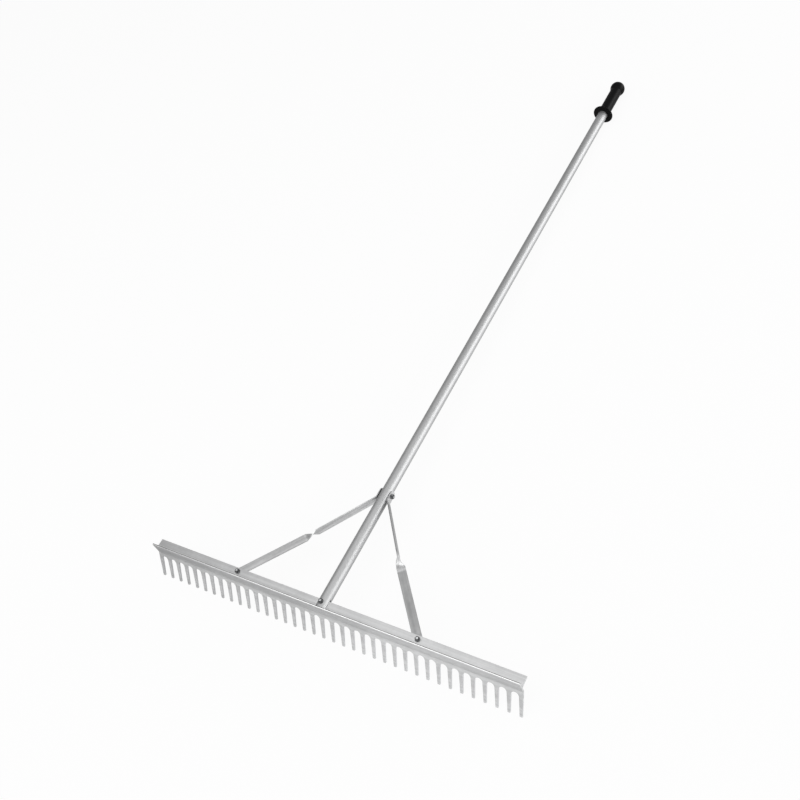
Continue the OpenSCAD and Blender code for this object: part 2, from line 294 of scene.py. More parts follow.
def add_group(tree, group, place):
    """The values of a shared effect at a place."""
    use = tree.nodes.new("ShaderNodeGroup")
    use.node_tree = group
    tree.links.new(place, use.inputs[0])
    return use.outputs


def remap(tree, place, change, amount):
    """A place that a Mapping node has turned or stretched."""
    mapping = tree.nodes.new("ShaderNodeMapping")
    mapping.inputs[change].default_value = amount
    tree.links.new(place, mapping.inputs["Vector"])
    return mapping.outputs["Vector"]


def two_tones(tree, factor, dark, light):
    """A colour between two tones."""
    mix = tree.nodes.new("ShaderNodeMix")
    mix.data_type = "RGBA"
    mix.inputs["A"].default_value = (*dark, 1)
    mix.inputs["B"].default_value = (*light, 1)
    tree.links.new(factor, mix.inputs["Factor"])
    return mix.outputs["Result"]


def add_bump(tree, surface, relief, strength, depth):
    """Let a value from 0 to 1 stand out of a surface by a depth."""
    bump = tree.nodes.new("ShaderNodeBump")
    bump.inputs["Strength"].default_value = strength
    bump.inputs["Distance"].default_value = depth
    tree.links.new(relief, bump.inputs["Height"])
    tree.links.new(bump.outputs["Normal"], surface["Normal"])


def metal(name, dark, light, smooth, rough, line_turn, line_length, line_depth):
    """A bare metal with lines along one direction, turned from Y by line_turn, and handling marks."""
    material, tree, surface = new_material(name)
    place = object_place(tree)
    turned = remap(tree, place, "Rotation", line_turn)
    stretched = remap(tree, turned, "Scale", (1, 1 / line_length, 1))
    lines = add_group(tree, drawn_lines, stretched)
    marks = add_group(tree, handling, place)
    tone = blend_values(tree, lines["Tone"], marks["Cloud"], share_of_second=0.4)
    tone = spread(tree, tone, 0.4, 0.6)
    tree.links.new(two_tones(tree, tone, dark, light), surface["Base Color"])
    polish = blend_values(tree, marks["Cloud"], lines["Tone"], share_of_second=0.5)
    tree.links.new(spread(tree, polish, 0.3, 0.7, smooth, rough), surface["Roughness"])
    add_bump(tree, surface, lines["Height"], strength=0.35, depth=line_depth)
    surface["Metallic"].default_value = 1.0
    return material


def shade_by(material, scale):
    """Paint light or shade into a material: make it lighter or darker by a value that varies over the piece.
    """
    tree = material.node_tree
    shade = tree.nodes.new("ShaderNodeVectorMath")
    shade.operation = "SCALE"
    base = tree.nodes["Principled BSDF"].inputs["Base Color"]
    tree.links.new(base.links[0].from_socket, shade.inputs["Vector"])
    tree.links.new(scale, shade.inputs["Scale"])
    tree.links.new(shade.outputs["Vector"], base)


along_head = (0, 0, math.pi / 2)
along_handle = (-handle_slope, 0, 0)
head_metal = metal(
    "satin_bar", (0.56, 0.563, 0.566), (0.71, 0.713, 0.716), smooth=0.34, rough=0.46,
    line_turn=along_head, line_length=120, line_depth=0.04 * mm
)
# The front of the plate's top edge: a painted highlight in its colour.
painted_highlight_metal = metal(
    "painted_highlight_edge", (0.86, 0.86, 0.86), (0.94, 0.94, 0.94), smooth=0.24, rough=0.36,
    line_turn=along_head, line_length=120, line_depth=0.02 * mm
)
# The back of the plate's top edge: painted shade in its colour.
painted_shade_metal = metal(
    "painted_shade_edge", (0.12, 0.12, 0.12), (0.20, 0.20, 0.20), smooth=0.40, rough=0.50,
    line_turn=along_head, line_length=120, line_depth=0.02 * mm
)
punched_metal = metal(
    "punched_edge", (0.74, 0.745, 0.75), (0.82, 0.825, 0.83), smooth=0.42, rough=0.56,
    line_turn=along_handle, line_length=4, line_depth=0.06 * mm
)
tube_metal = metal(
    "satin_tube", (0.47, 0.473, 0.476), (0.53, 0.533, 0.536), smooth=0.53, rough=0.59,
    line_turn=along_handle, line_length=160, line_depth=0.006 * mm
)
zinc_metal = metal(
    "zinc_plate", (0.52, 0.53, 0.54), (0.64, 0.65, 0.66), smooth=0.20, rough=0.34,
    line_turn=along_handle, line_length=2, line_depth=0.02 * mm
)
nut_metal = metal(
    "dark_zinc", (0.07, 0.072, 0.075), (0.14, 0.143, 0.148), smooth=0.22, rough=0.34,
    line_turn=along_handle, line_length=2, line_depth=0.02 * mm
)
# Painted shade: the bright edge is painted darker towards the left end of the head.
fade_left, fade_right = -0.46, -0.1
left_shade = 0.72
edge_tree = painted_highlight_metal.node_tree
edge_place = split(edge_tree, object_place(edge_tree))
shade_by(painted_highlight_metal, spread(edge_tree, edge_place["X"], fade_left, fade_right, left_shade, 1.0))
for finish in (head_metal, painted_highlight_metal, painted_shade_metal, punched_metal, tube_metal, zinc_metal, nut_metal):
    print("metal:", finish.name)

# %% [markdown]
# ## Working by hand in code
# A piece starts from a primitive and is shaped with the same operators that a hand on the keyboard would use.
# An outline is traced by extruding a single vertex from corner to corner, then filled or spun. Before each
# operator everything else is deselected, because an operator acts on all that is selected.


# %% Set up the workbench
def clear_bench():
    """Leave edit mode and deselect everything."""
    if bpy.context.object is not None and bpy.context.object.mode != "OBJECT":
        bpy.ops.object.mode_set(mode="OBJECT")
    bpy.ops.object.select_all(action="DESELECT")


def pick_up(piece):
    """Make one piece the only selected and the active one."""
    clear_bench()
    piece.select_set(True)
    bpy.context.view_layer.objects.active = piece


def trace(name, corners):
    """An outline drawn by extruding one vertex from corner to corner. It is left open, in edit mode."""
    clear_bench()
    bpy.ops.mesh.primitive_plane_add(size=mm)
    piece = bpy.context.object
    piece.name = name
    bpy.ops.object.mode_set(mode="EDIT")
    bpy.ops.mesh.select_mode(type="VERT")
    bpy.ops.mesh.merge(type="CENTER")
    corners = [Vector(corner) for corner in corners]
    bpy.ops.transform.translate(value=corners[0])
    for here, there in zip(corners, corners[1:]):
        bpy.ops.mesh.extrude_vertices_move(TRANSFORM_OT_translate={"value": there - here})
    bpy.ops.mesh.select_all(action="SELECT")
    return piece


def face_out(piece):
    """Merge doubled vertices and turn every face outwards."""
    pick_up(piece)
    bpy.ops.object.mode_set(mode="EDIT")
    bpy.ops.mesh.select_all(action="SELECT")
    bpy.ops.mesh.remove_doubles(threshold=0.002 * mm)
    bpy.ops.mesh.normals_make_consistent(inside=False)
    bpy.ops.object.mode_set(mode="OBJECT")


def plate_from(name, corners, depth):
    """A closed plate: the outline is filled, then extruded by the depth."""
    piece = trace(name, corners)
    bpy.ops.mesh.edge_face_add()
    bpy.ops.mesh.extrude_region_move(TRANSFORM_OT_translate={"value": Vector(depth)})
    face_out(piece)
    return piece


print("bench ready")

# %% [markdown]
# ## The head
# The head is one aluminium extrusion: an upright plate, a flange behind it and a tooth plate that leans
# forward below a soft fold. It could be built tooth by tooth, but the real one is an extruded bar that goes
# through a punch, so the model does the same. First the section is traced and extruded to length.

# %% Trace and extrude the bar
head_low, head_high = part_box("rake_head")
head_length = head_high.x - head_low.x
tooth_length = 63.5 * mm
tooth_thickness = 3.6 * mm
lean_degrees = 27.5
tooth_lean = math.radians(lean_degrees)
fold_radius = 8 * mm
fold_drop = 10.2 * mm
plate_top = 21.6 * mm
plate_thickness = 3.2 * mm
edge_radius = 0.45 * plate_thickness
flange_reach = 25.4 * mm
flange_thickness = 3.2 * mm
web_fillet = 1.5 * mm


def round_stretch(centre, radius, start, end, steps):
    """Places along an arc, as pairs. The angles are in degrees."""
    angles = [math.radians(start + (end - start) * step / steps) for step in range(steps + 1)]
    return [(centre[0] + radius * math.cos(a), centre[1] + radius * math.sin(a)) for a in angles]


def on_tooth(below, depth):
    """A place on the tooth plate, from its distance below the fold and its depth from the front face."""
    along = (-math.sin(tooth_lean), -math.cos(tooth_lean))
    inward = (math.cos(tooth_lean), -math.sin(tooth_lean))
    return (depth * inward[0] + below * along[0], -fold_drop + below * along[1] + depth * inward[1])


fold_tangent = fold_radius * math.tan(tooth_lean / 2)
web_y = plate_thickness + web_fillet
edge_level = plate_top - edge_radius
section = [
    *round_stretch((edge_radius, edge_level), edge_radius, 90, 180, 12),
    *round_stretch((-fold_radius, fold_tangent - fold_drop), fold_radius, 0, -lean_degrees, 8),
    on_tooth(tooth_length, 0),
    on_tooth(tooth_length, tooth_thickness),
    on_tooth(0, tooth_thickness),
    (plate_thickness, -fold_drop),
    *round_stretch((web_y, -web_fillet), web_fillet, 180, 90, 6),
    (flange_reach, 0),
    (flange_reach, flange_thickness),
    *round_stretch((web_y, flange_thickness + web_fillet), web_fillet, 270, 180, 6),
    *round_stretch((plate_thickness - edge_radius, edge_level), edge_radius, 0, 90, 12),
]
head = plate_from("head", [(-head_length / 2, y, z) for y, z in section], (head_length, 0, 0))
head.data.materials.append(head_metal)
print("bar faces:", len(head.data.polygons))

# %% [markdown]
# ## The teeth
# The punch has the shape of the gap between two teeth, with a half-round arch at the root and rounded corners
# at the tips. It is shaped once, repeated with an array and driven through with one Boolean. Before that the
# bar is divided across at every gap, so that no face has to reach round all the teeth.


# %% Shape the punch and repeat it
def finish_with(piece, kind, **settings):
    """Add one modifier, set it and apply it."""
    pick_up(piece)
    modifier = piece.modifiers.new(kind.lower(), kind)
    for setting, value in settings.items():
        setattr(modifier, setting, value)
    bpy.ops.object.modifier_apply(modifier=modifier.name)


def cut(piece, tool, operation="DIFFERENCE"):
    """Cut a piece with a tool, or join them, or keep what they share. Cut faces take the tool's material."""
    finish_with(piece, "BOOLEAN", operation=operation, object=tool, solver="EXACT", material_mode="TRANSFER")
    bpy.data.objects.remove(tool)


tooth_count = 37
tooth_root = 8.8 * mm
tooth_tip = 5.6 * mm
tip_radius = 0.4 * mm
arch_drop = 8.6 * mm
past = 1.5 * mm
tooth_pitch = (head_length - tooth_root) / (tooth_count - 1)
arch_radius = (tooth_pitch - tooth_root) / 2
arch_level = arch_drop + arch_radius
gap_mouth = (tooth_pitch - tooth_tip) / 2


def on_tooth_plate(x, below):
    """A place just in front of the tooth plate."""
    return (x, *on_tooth(below, -past))


def mouth_side(side):
    """One side of the gap's mouth, round the corner of a tip and out."""
    corner = []
    for turn in [math.radians(angle) for angle in (0, 20, 40, 60)]:
        out = gap_mouth + tip_radius * (1 - math.cos(turn))
        below = tooth_length - tip_radius + tip_radius * math.sin(turn)
        corner.append((side * out, below))
    return corner + [(side * (gap_mouth + 2 * tip_radius), tooth_length + tip_radius)]


punch_through = Vector((0, *on_tooth(0, tooth_thickness + 2 * past))) - Vector((0, *on_tooth(0, 0)))
gap = round_stretch((0, arch_level), arch_radius, -180, 0, 25) + mouth_side(1) + mouth_side(-1)[::-1]
first_gap = -(tooth_count - 2) / 2 * tooth_pitch
pick_up(head)
bpy.ops.object.mode_set(mode="EDIT")
for gap_number in range(tooth_count - 1):
    bpy.ops.mesh.select_all(action="SELECT")
    bpy.ops.mesh.bisect(plane_co=(first_gap + gap_number * tooth_pitch, 0, 0), plane_no=(1, 0, 0))
punch = plate_from("punch", [on_tooth_plate(first_gap + x, below) for x, below in gap], punch_through)
punch.data.materials.append(punched_metal)
finish_with(
    punch, "ARRAY", count=tooth_count - 1, use_relative_offset=False,
    use_constant_offset=True, constant_offset_displace=(tooth_pitch, 0, 0)
)
cut(head, punch)
print("gaps punched:", tooth_count - 1)

# %% [markdown]
# ## End teeth and bolt holes
# The two end teeth have no gap on their outer side, so a wedge is nibbled off each to give it the same taper.
# The flange is then drilled for the foot bolt in the middle and for the two brace bolts.


# %% Taper the end teeth and drill the flange
def drill(piece, radius, start, end, material):
    """Drill a round hole through a piece, from one place to another."""
    clear_bench()
    way = Vector(end) - Vector(start)
    bpy.ops.mesh.primitive_cylinder_add(vertices=48, radius=radius, depth=way.length)
    tool = bpy.context.object
    tool.name = "drill"
    tool.rotation_euler = way.to_track_quat("Z", "Y").to_euler()
    tool.location = (Vector(start) + Vector(end)) / 2
    bpy.ops.object.transform_apply()
    tool.data.materials.append(material)
    cut(piece, tool)


bolt_line = 17 * mm
brace_spread = 227.5 * mm
hole_radius = 2.6 * mm
taper = (tooth_root - tooth_tip) / 2 / (tooth_length - arch_level)
for side in (-1, 1):
    wedge = [
        (head_length / 2 + arch_level * taper, 0),
        (head_length / 2 - (tooth_length + past - arch_level) * taper, tooth_length + past),
        (head_length / 2 + tooth_root, tooth_length + past),
        (head_length / 2 + tooth_root, 0),
    ]
    nibbler = plate_from("nibbler", [on_tooth_plate(side * x, below) for x, below in wedge], punch_through)
    nibbler.data.materials.append(punched_metal)
    cut(head, nibbler)
for x in (-brace_spread, 0, brace_spread):
    under, over = (x, bolt_line, -past), (x, bolt_line, flange_thickness + past)
    drill(head, hole_radius, under, over, punched_metal)
face_out(head)
print("head faces:", len(head.data.polygons))

# %% [markdown]
# ## Finishing the head
# A real edge is never quite sharp, and only a rounded one catches the light, so a bevel softens them all. The
# top edge of the plate then gets a painted highlight on its front faces and painted shade on its back faces,
# chosen by the way its faces look. Last, the head is laid down from the handle's axes and tied to the solid
# that it stands for.


# %% Finish the head
def soften(piece, width, segments=2, smooth_angle=40):
    """Round the sharp edges, shade the rounds smoothly and keep the flats flat."""
    finish_with(
        piece, "BEVEL", width=width, segments=segments, limit_method="ANGLE",
        angle_limit=math.radians(smooth_angle), miter_outer="MITER_ARC"
    )
    pick_up(piece)
    bpy.ops.object.shade_smooth_by_angle(angle=math.radians(smooth_angle))
    finish_with(piece, "WEIGHTED_NORMAL", keep_sharp=True, weight=100)


def pick_faces(test):
    """In edit mode, select the faces that pass a test of their middle and normal."""
    bpy.ops.mesh.select_mode(type="FACE")
    bpy.ops.mesh.select_all(action="DESELECT")
    mesh = bmesh.from_edit_mesh(bpy.context.edit_object.data)
    for face in mesh.faces:
        face.select_set(test(face.calc_center_median(), face.normal))
    bmesh.update_edit_mesh(bpy.context.edit_object.data)


def refinish(piece, finish, test):
    """Give the faces that pass a test of their middle and normal another finish."""
    pick_up(piece)
    piece.data.materials.append(finish)
    piece.active_material_index = len(piece.data.materials) - 1
    bpy.ops.object.mode_set(mode="EDIT")
    pick_faces(test)
    bpy.ops.object.material_slot_assign()
    bpy.ops.object.mode_set(mode="OBJECT")


def lay_down(piece):
    """Move a piece from the handle's axes to where the rake lies, and keep that place in its mesh."""
    pick_up(piece)
    piece.rotation_euler = (handle_slope, 0, 0)
    piece.location = handle_zero
    bpy.ops.object.transform_apply()


def hand_over(piece, slot, *nodes):
    """Tie a finished piece to the CAD frame and hide the CAD solids that it stands for. The slot is not used.
    """
    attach(piece, "root")
    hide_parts(*nodes)
    low, high = Vector(piece.bound_box[0]), Vector(piece.bound_box[6])
    size = [round(side / mm, 1) for side in high - low]
    print(piece.name, "faces", len(piece.data.polygons), "size in mm", size)


front_lip, crest, back_lip = -0.86, 0.05, 0.95
soften(head, width=0.35 * mm)
# Painted highlight on the front of the plate's top edge, painted shade on its back.
refinish(head, painted_highlight_metal, lambda middle, normal: middle.z > edge_level and front_lip < normal.y < crest)
refinish(head, painted_shade_metal, lambda middle, normal: middle.z > edge_level and crest < normal.y < back_lip)
lay_down(head)
hand_over(head, "head_aluminium", "rake_head")

# %% [markdown]
# ## The tube
# The handle is a drawn aluminium tube. A cylinder without ends becomes a tube when Solidify gives it a wall.
# Its foot is sawn to a slot that slides over the flange, and it is drilled for two bolts. Rings are cut round
# it near the sawn and drilled places, so that the long plain stretch between them keeps its clean shading.

# %% Draw the tube and saw its foot
tube_radius = 12.7 * mm
tube_wall = 1.65 * mm
tube_foot = 3.5 * mm
tube_length = 1676.4 * mm
tube_end = tube_foot + tube_length
slot_clearance = 0.2 * mm
slot_end = flange_reach + 4 * mm
brace_reach = 293 * mm
brace_level = -1 * mm
end_ring = 8 * mm
bolt_ring = 12 * mm
clear_bench()
bpy.ops.mesh.primitive_cylinder_add(
    vertices=96, radius=tube_radius, depth=tube_length, end_fill_type="NOTHING",
    location=(0, (tube_foot + tube_end) / 2, 0), rotation=(math.pi / 2, 0, 0)
)
tube = bpy.context.object
tube.name = "tube"
bpy.ops.object.transform_apply()
bpy.ops.object.mode_set(mode="EDIT")
for ring in (slot_end + end_ring, brace_reach - bolt_ring, brace_reach + bolt_ring, tube_end - end_ring):
    bpy.ops.mesh.select_all(action="SELECT")
    bpy.ops.mesh.bisect(plane_co=(0, ring, 0), plane_no=(0, 1, 0))
face_out(tube)
tube.data.materials.append(tube_metal)
finish_with(tube, "SOLIDIFY", thickness=tube_wall, offset=-1, use_rim=True)
clear_bench()
bpy.ops.mesh.primitive_cube_add(size=1)
saw = bpy.context.object
saw.dimensions = (4 * tube_radius, 2 * slot_end, flange_thickness + 2 * slot_clearance)
saw.location = (0, 0, flange_thickness / 2)
bpy.ops.object.transform_apply()
saw.data.materials.append(punched_metal)
cut(tube, saw)
reach = 2 * tube_radius
drill(tube, hole_radius, (0, bolt_line, -reach), (0, bolt_line, reach), punched_metal)
drill(tube, hole_radius, (-reach, brace_reach, brace_level), (reach, brace_reach, brace_level), punched_metal)
face_out(tube)
soften(tube, width=0.25 * mm)
lay_down(tube)
hand_over(tube, "tube_aluminium", "handle_tube")

# %% [markdown]
# ## The vinyl
# The grip is moulded in soft black vinyl. It takes the same cloudy handling marks as the metal, in a much
# darker pair of tones, and a fine grain from its mould. Its shine is kept low, because worn vinyl is dull.


# %% Make the vinyl
def plastic(name, dark, light, smooth, rough):
    """A moulded plastic with handling marks. Its grain is left to be added."""
    material, tree, surface = new_material(name)
    place = object_place(tree)
    marks = add_group(tree, handling, place)
    tree.links.new(two_tones(tree, marks["Cloud"], dark, light), surface["Base Color"])
    tree.links.new(spread(tree, marks["Cloud"], 0.3, 0.7, smooth, rough), surface["Roughness"])
    return material, tree, surface, place, marks


vinyl, tree, surface, place, marks = plastic(
    "soft_vinyl", (0.0015, 0.0015, 0.0015), (0.003, 0.003, 0.0035), smooth=0.32, rough=0.44
)
surface["Specular IOR Level"].default_value = 0.09
grain = noise(tree, place, scale=1400, detail=2.0)
add_bump(tree, surface, grain, strength=0.3, depth=0.06 * mm)
print("plastic:", vinyl.name)

# %% [markdown]
# ## The grip
# The grip is a sleeve that is pushed over the end of the tube. A round collar keeps the hand from sliding
# down, and a ball end keeps it from slipping off. It is round all over, so half its section is traced from
# the collar to the ball, back along its bore, and spun.


# %% Spin the grip
def turned_from(name, corners, axis, steps):
    """A turned piece: the outline is spun once round the axis through the origin."""
    piece = trace(name, corners)
    bpy.ops.mesh.spin(steps=steps, angle=math.tau, center=(0, 0, 0), axis=axis)
    face_out(piece)
    return piece


grip_bore = tube_radius + 0.05 * mm
barrel_radius = grip_bore + 2.6 * mm
ball_radius = barrel_radius + 4.2 * mm
grip_top = tube_end + 21.5 * mm
ball_centre = grip_top - ball_radius
collar_middle = grip_top - 128.5 * mm
rim_radius = 2.5 * mm
rim_centre = barrel_radius + 11.3 * mm - rim_radius
collar_fillet = 2 * mm
ball_fillet = 2 * mm
neck_x = barrel_radius + ball_fillet
neck_y = ball_centre - math.sqrt((ball_radius + ball_fillet) ** 2 - neck_x ** 2)
neck_angle = math.degrees(math.atan2(ball_centre - neck_y, -neck_x))
collar_back = collar_middle + rim_radius
half_section = [
    (grip_bore, collar_middle - rim_radius),
    *round_stretch((rim_centre, collar_middle), rim_radius, -90, 90, 12),
    *round_stretch((barrel_radius + collar_fillet, collar_back + collar_fillet), collar_fillet, 270, 180, 6),
    *round_stretch((neck_x, neck_y), ball_fillet, 180, neck_angle, 8),
    *round_stretch((0, ball_centre), ball_radius, neck_angle - 180, 90, 28)[1:-1],
    (0, grip_top),
    (0, tube_end),
    (grip_bore, tube_end),
    (grip_bore, collar_middle - rim_radius),
]
grip_sleeve = turned_from("grip_sleeve", [(r, y, 0) for r, y in half_section], (0, 1, 0), 96)
grip_sleeve.data.materials.append(vinyl)
soften(grip_sleeve, width=0.3 * mm)
lay_down(grip_sleeve)
hand_over(grip_sleeve, "grip_vinyl", "grip")

# %% [markdown]
# ## The braces
# Each brace is a flat bar. It lies under the flange at its foot, takes a quarter turn, stands on edge and is
# bent to a tab against the tube. The bolts fix where the foot and the tab are, so the angles and the length
# of the bar between them are worked out first.

# %% Work out the brace
brace_width = 19 * mm
brace_thickness = 2 * mm
twist_start = 163 * mm
twist_length = 28 * mm
twist_end = twist_start + twist_length
kink = math.radians(2.6)
tab_lead = 12 * mm
tab_end = 12 * mm
tab_radius = 0.52 * brace_width
tab_middle = tube_radius + 0.05 * mm + brace_thickness / 2
bend_line = 5 * mm + brace_thickness / 2
kink_line = 40 * mm + brace_thickness / 2
span_x = brace_spread - tab_middle - bend_line
span_y = brace_reach - tab_lead - bolt_line
span = math.hypot(span_x, span_y)
span_angle = math.atan2(span_x, span_y)
upper_offset = bend_line - twist_end * math.sin(kink) - kink_line * (1 - math.cos(kink))
upper_angle = span_angle + math.asin(upper_offset / span)
lower_angle = upper_angle + kink
straight_span = span * math.cos(upper_angle - span_angle)
upper_length = straight_span - twist_end * math.cos(kink) - kink_line * math.sin(kink)
print("brace angles", round(math.degrees(lower_angle), 2), round(math.degrees(upper_angle), 2))

# %% [markdown]
# ## Forging one brace
# A Simple Deform modifier could twist the bar, but then the bends would have to follow. Here the end face of
# the bar is extruded along step by step and turned a little each time, as a smith would work along the bar.
# At the tab each step is narrower than the last, which gives the end its round shape.


# %% Forge one brace
def draw_out(here, there, turn=0, axis="Z"):
    """Extrude the selected end face to a new place and turn it there, clockwise as the axis points at you."""
    bpy.ops.mesh.extrude_region_move(TRANSFORM_OT_translate={"value": there - here})
    if turn:
        bpy.ops.transform.rotate(value=turn, orient_axis=axis, center_override=there)
    return there


def heading(angle):
    """Straight on, turned clockwise by an angle."""
    return Vector((math.sin(angle), math.cos(angle), 0))


def bend_bar(here, start_angle, bend, radius, steps):
    """Draw the bar out round a bend."""
    turn = bend / steps
    chord = 2 * radius * math.sin(turn / 2)
    for step in range(steps):
        here = draw_out(here, here + heading(start_angle + turn * (step + 0.5)) * chord, turn)
    return here


twist_steps = 24
tab_steps = 9
tab_share = 0.94
foot_round = round_stretch((0, 0), brace_width / 2, 0, -180, 24)
foot_plan = [(brace_width / 2, twist_start), *foot_round, (-brace_width / 2, twist_start)]
foot_corners = [(x, y, -brace_thickness / 2) for x, y in foot_plan]
brace = plate_from("brace_right", foot_corners, (0, 0, brace_thickness))
pick_up(brace)
bpy.ops.object.mode_set(mode="EDIT")
pick_faces(lambda middle, normal: normal.y > 0.9 and middle.y > twist_start - mm)
here = Vector((0, twist_start, 0))
for step in range(twist_steps):
    here = draw_out(here, here + heading(0) * twist_length / twist_steps, -math.pi / 2 / twist_steps, "Y")
here = bend_bar(here, 0, kink, kink_line, steps=4)
here = draw_out(here, here + heading(kink) * upper_length)
here = bend_bar(here, kink, upper_angle, bend_line, steps=14)
round_start = math.asin(brace_width / 2 / tab_radius)
tab_centre = tab_lead + tab_end - tab_radius
half_width = brace_width / 2
done = 0
for step in range(tab_steps + 1):
    angle = round_start - round_start * tab_share * step / tab_steps
    reach = tab_centre + tab_radius * math.cos(angle)
    here = draw_out(here, here + heading(lower_angle) * (reach - done))
    narrower = tab_radius * math.sin(angle)
    bpy.ops.transform.resize(value=(1, 1, narrower / half_width), center_override=here)
    half_width = narrower
    done = reach
brace.location = (brace_spread, bolt_line, brace_level)
brace.rotation_euler = (0, 0, lower_angle)
pick_up(brace)
bpy.ops.object.transform_apply()
face_out(brace)
print("brace faces", len(brace.data.polygons))

# %% [markdown]
# ## The braces' metal
# The twist and the tab of each brace get a painted highlight, brighter than the rest of the bar. The two
# braces also get painted light and shade of their own below and above the twist: the right one is painted
# darker and the left one lighter. A shared effect finds these places from the place on the bar. A second
# material on some of the faces would leave a hard line where it starts.

# %% Find where a bar gets painted light
ease = 15 * mm
foot_along = brace_spread * math.sin(lower_angle) - (handle_zero.y + bolt_line) * math.cos(lower_angle)
# Masks for painted light: a painted highlight on the twist and the tab, and the share of the bar past the
# twist.
painted_light_bar, place, values = new_group("painted_light_bar", "Place", ["Worked", "Upper"])
bar_place = split(painted_light_bar, place)
off_tube = calculate(painted_light_bar, "ABSOLUTE", bar_place["X"])
up_handle = calculate(painted_light_bar, "MULTIPLY_ADD", bar_place["Y"], math.cos(lower_angle), foot_along)
along_bar = calculate(painted_light_bar, "MULTIPLY_ADD", off_tube, -math.sin(lower_angle), up_handle)
past_start = spread(painted_light_bar, along_bar, twist_start - ease / 3, twist_start)
before_end = spread(painted_light_bar, along_bar, twist_end, twist_end + ease, 1.0, 0.0)
on_twist = calculate(painted_light_bar, "MULTIPLY", past_start, before_end)
on_tab = spread(painted_light_bar, off_tube, tab_middle + brace_thickness, tab_middle + ease / 2, 1.0, 0.0)
painted_light_bar.links.new(calculate(painted_light_bar, "MAXIMUM", on_twist, on_tab), values["Worked"])
painted_light_bar.links.new(spread(painted_light_bar, along_bar, twist_start, twist_end), values["Upper"])
print("shared effect:", painted_light_bar.name)


# %% Make the braces' metal
def brace_metal(name, side, lower_painted_light, upper_painted_light, painted_highlight_tone):
    """Satin bar metal with its lines along one brace, with painted light and shade of its own below and above
    the twist, and a painted highlight on the twist and the tab.
    """
    material = metal(
        name, (0.45, 0.453, 0.456), (0.69, 0.693, 0.696), smooth=0.36, rough=0.48,
        line_turn=(0, 0, -side * lower_angle), line_length=90, line_depth=0.03 * mm
    )
    tree = material.node_tree
    bar = add_group(tree, painted_light_bar, object_place(tree))
    bar_painted_light = spread(tree, bar["Upper"], 0, 1, lower_painted_light, upper_painted_light)
    gain = calculate(tree, "SUBTRACT", painted_highlight_tone, bar_painted_light)
    shade_by(material, calculate(tree, "MULTIPLY_ADD", bar["Worked"], gain, bar_painted_light))
    return material


# Painted light and shade: the right brace is painted darker, the left one lighter.
right_metal = brace_metal("satin_right_brace_painted_shade", 1, lower_painted_light=0.74, upper_painted_light=0.64, painted_highlight_tone=1.18)
left_metal = brace_metal("satin_left_brace_painted_light", -1, lower_painted_light=1.03, upper_painted_light=1.26, painted_highlight_tone=1.18)
print("metals:", right_metal.name, left_metal.name)

# %% [markdown]
# ## Drilling and copying the brace
# The two braces mirror each other, so one is drilled and the other is its copy, turned over at the middle of
# the rake. A mirrored copy has its faces inside out, and so they are turned outwards again.


# %% Drill the brace and make its mirror image
def copy_of(piece, name):
    """A copy of a piece, with a mesh of its own."""
    pick_up(piece)
    bpy.ops.object.duplicate()
    bpy.context.object.name = name
    return bpy.context.object


brace.data.materials.append(right_metal)
under, over = (brace_spread, bolt_line, -brace_width), (brace_spread, bolt_line, brace_width)
drill(brace, hole_radius, under, over, punched_metal)
tab_in = (tab_middle - brace_width / 2, brace_reach, brace_level)
tab_out = (tab_middle + brace_width / 2, brace_reach, brace_level)
drill(brace, hole_radius, tab_in, tab_out, punched_metal)
face_out(brace)
left_brace = copy_of(brace, "brace_left")
left_brace.scale = (-1, 1, 1)
bpy.ops.object.transform_apply()
face_out(left_brace)
left_brace.data.materials[0] = left_metal
for piece, node in ((brace, "right_brace"), (left_brace, "left_brace")):
    soften(piece, width=0.3 * mm)
    lay_down(piece)
    hand_over(piece, "brace_aluminium", node)

# %% [markdown]
# ## The nylon
# Each lock nut holds a ring of plain nylon. It is off-white, and its grain is a scatter of fine specks.

# %% Make the nylon
nylon, tree, surface, place, marks = plastic(
    "natural_nylon", (0.62, 0.62, 0.59), (0.74, 0.74, 0.71), smooth=0.40, rough=0.55
)
add_bump(tree, surface, marks["Speck"], strength=0.2, depth=0.03 * mm)
print("plastic:", nylon.name)

# %% [markdown]
# ## Bolts
# Four number ten bolts hold the rake together. A hexagon starts as a cylinder of six sides, and what it
# shares with a turned cup gives the curved chamfers of a real one. The thread is a vee that a Screw modifier
# winds into a helix, and a Boolean cuts it as a die would. A bump could fake the thread, but not its outline.

# %% Make the bolts
bolt_radius = 2.4 * mm
thread_pitch = 1.06 * mm
thread_root = 1.9 * mm
hex_half = 4.75 * mm
hex_corner = hex_half / math.cos(math.radians(30))
chamfer_drop = (hex_corner - hex_half) * math.tan(math.radians(30))
head_height = 3.2 * mm
nut_height = 4 * mm
nut_total = nut_height + 2 * mm
bolt_stand_out = 1.2 * mm
bolt_chamfer = 0.5 * mm
fastener_edge = 0.12 * mm
turned_steps = 64


def hexagon(name, low, high, finish):
    """A hexagon along Z with its corners chamfered at both ends."""
    clear_bench()
    bpy.ops.mesh.primitive_cylinder_add(
        vertices=6, radius=hex_corner, depth=high - low,
        location=(0, 0, (low + high) / 2), rotation=(0, 0, math.radians(30))
    )
    blank = bpy.context.object
    blank.name = name
    bpy.ops.object.transform_apply()
    blank.data.materials.append(finish)
    wide = hex_corner + 0.1 * mm
    drop = chamfer_drop * (wide - hex_half) / (hex_corner - hex_half)
    cup = [(0, low), (hex_half, low), (wide, low + drop), (wide, high - drop), (hex_half, high), (0, high)]
    turned = turned_from("cup", [(r, 0, z) for r, z in cup], (0, 0, 1), turned_steps)
    turned.data.materials.append(finish)
    cut(blank, turned, "INTERSECT")
    return blank


